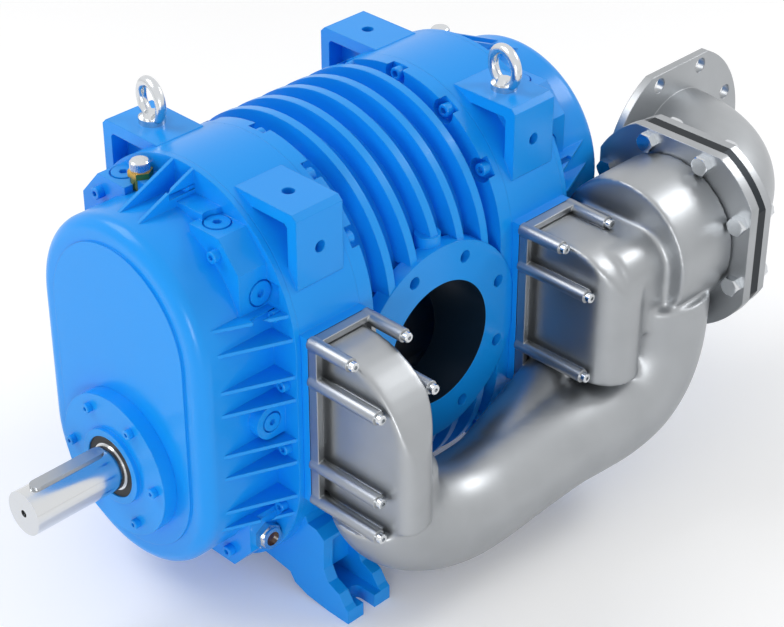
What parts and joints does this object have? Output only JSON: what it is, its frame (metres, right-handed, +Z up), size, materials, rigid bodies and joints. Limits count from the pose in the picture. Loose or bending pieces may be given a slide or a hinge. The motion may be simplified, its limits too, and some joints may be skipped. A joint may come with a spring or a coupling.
{
  "type": "rotary vacuum pump",
  "caption": "Rotary lobe vacuum pump with finned casing, domed end covers, a lower drive shaft and an air-injection manifold.",
  "frame": {"origin": "on the base plane, at the middle of the four feet, straight below the ports' axis", "axes": "+Z up, +Y along the shafts away from the drive end, +X towards the side that carries the air manifold"},
  "size_m": [0.66, 1.2155, 0.6305],
  "materials": {
    "blue_paint": "gloss enamel on cast iron",
    "black_rubber": "moulded",
    "seal_metal": "turned",
    "bearing_steel": "ground",
    "raw_cast_iron": "machined",
    "ground_steel": "ground",
    "rotor_iron": "milled",
    "gear_steel": "hobbed",
    "key_steel": "drawn",
    "plated_steel": "bright plated",
    "brass": "turned",
    "oil_window": "clear",
    "gasket": "pressed sheet",
    "cast_aluminium": "blasted casting",
    "dark_ring": "blackened"
  },
  "bodies": {
    "housing": {"rotor_casing": "blue_paint", "front_end_plate": "blue_paint", "rear_end_plate": "blue_paint", "front_cover": "blue_paint", "rear_cover": "blue_paint", "shaft_seal_cover": "blue_paint", "lip_seal": "black_rubber", "rotor_shaft_seals": "seal_metal", "bearing_outer_rings": "bearing_steel", "bearing_rollers": "bearing_steel", "bearing_caps": "raw_cast_iron", "eye_bolts": "plated_steel", "oil_filler_bases": "brass", "oil_filler_caps": "plated_steel", "plug_discs": "blue_paint", "sight_glass_rings": "plated_steel", "sight_glass_windows": "oil_window", "front_cover_screws": "blue_paint", "rear_cover_screws": "blue_paint", "seal_cover_screws": "blue_paint", "casing_screws": "blue_paint", "duct_screws": "plated_steel", "duct_gaskets": "gasket", "air_manifold": "cast_aluminium", "valve_seat_ring": "dark_ring", "valve_hinge_pin": "ground_steel", "air_elbow": "cast_aluminium", "valve_bolts": "plated_steel", "valve_nuts": "plated_steel"},
    "drive_rotor_body": {"drive_shaft": "ground_steel", "drive_rotor": "rotor_iron", "drive_gear": "gear_steel", "shaft_key": "key_steel", "drive_inner_rings": "bearing_steel", "oil_slingers": "bearing_steel"},
    "driven_rotor_body": {"driven_shaft": "ground_steel", "driven_rotor": "rotor_iron", "driven_gear": "gear_steel", "driven_inner_rings": "bearing_steel"},
    "flap_body": {"valve_flap": "gear_steel"}
  },
  "joints": [
    {"name": "drive_spin", "type": "hinge", "parent": "housing", "child": "drive_rotor_body", "pos_m": [0, 0, 0.2035], "axis": [0, 1, 0], "continuous": true},
    {"name": "driven_spin", "type": "hinge", "parent": "housing", "child": "driven_rotor_body", "pos_m": [0, 0, 0.3885], "axis": [0, 1, 0], "continuous": true},
    {"name": "flap_swing", "type": "hinge", "parent": "housing", "child": "flap_body", "pos_m": [0.276, 0.372, 0.43], "axis": [-1, 0, 0], "range_deg": [0, 40]}
  ],
  "couplings": [
    {"joint": "driven_spin", "follows": "drive_spin", "ratio": -1}
  ]
}
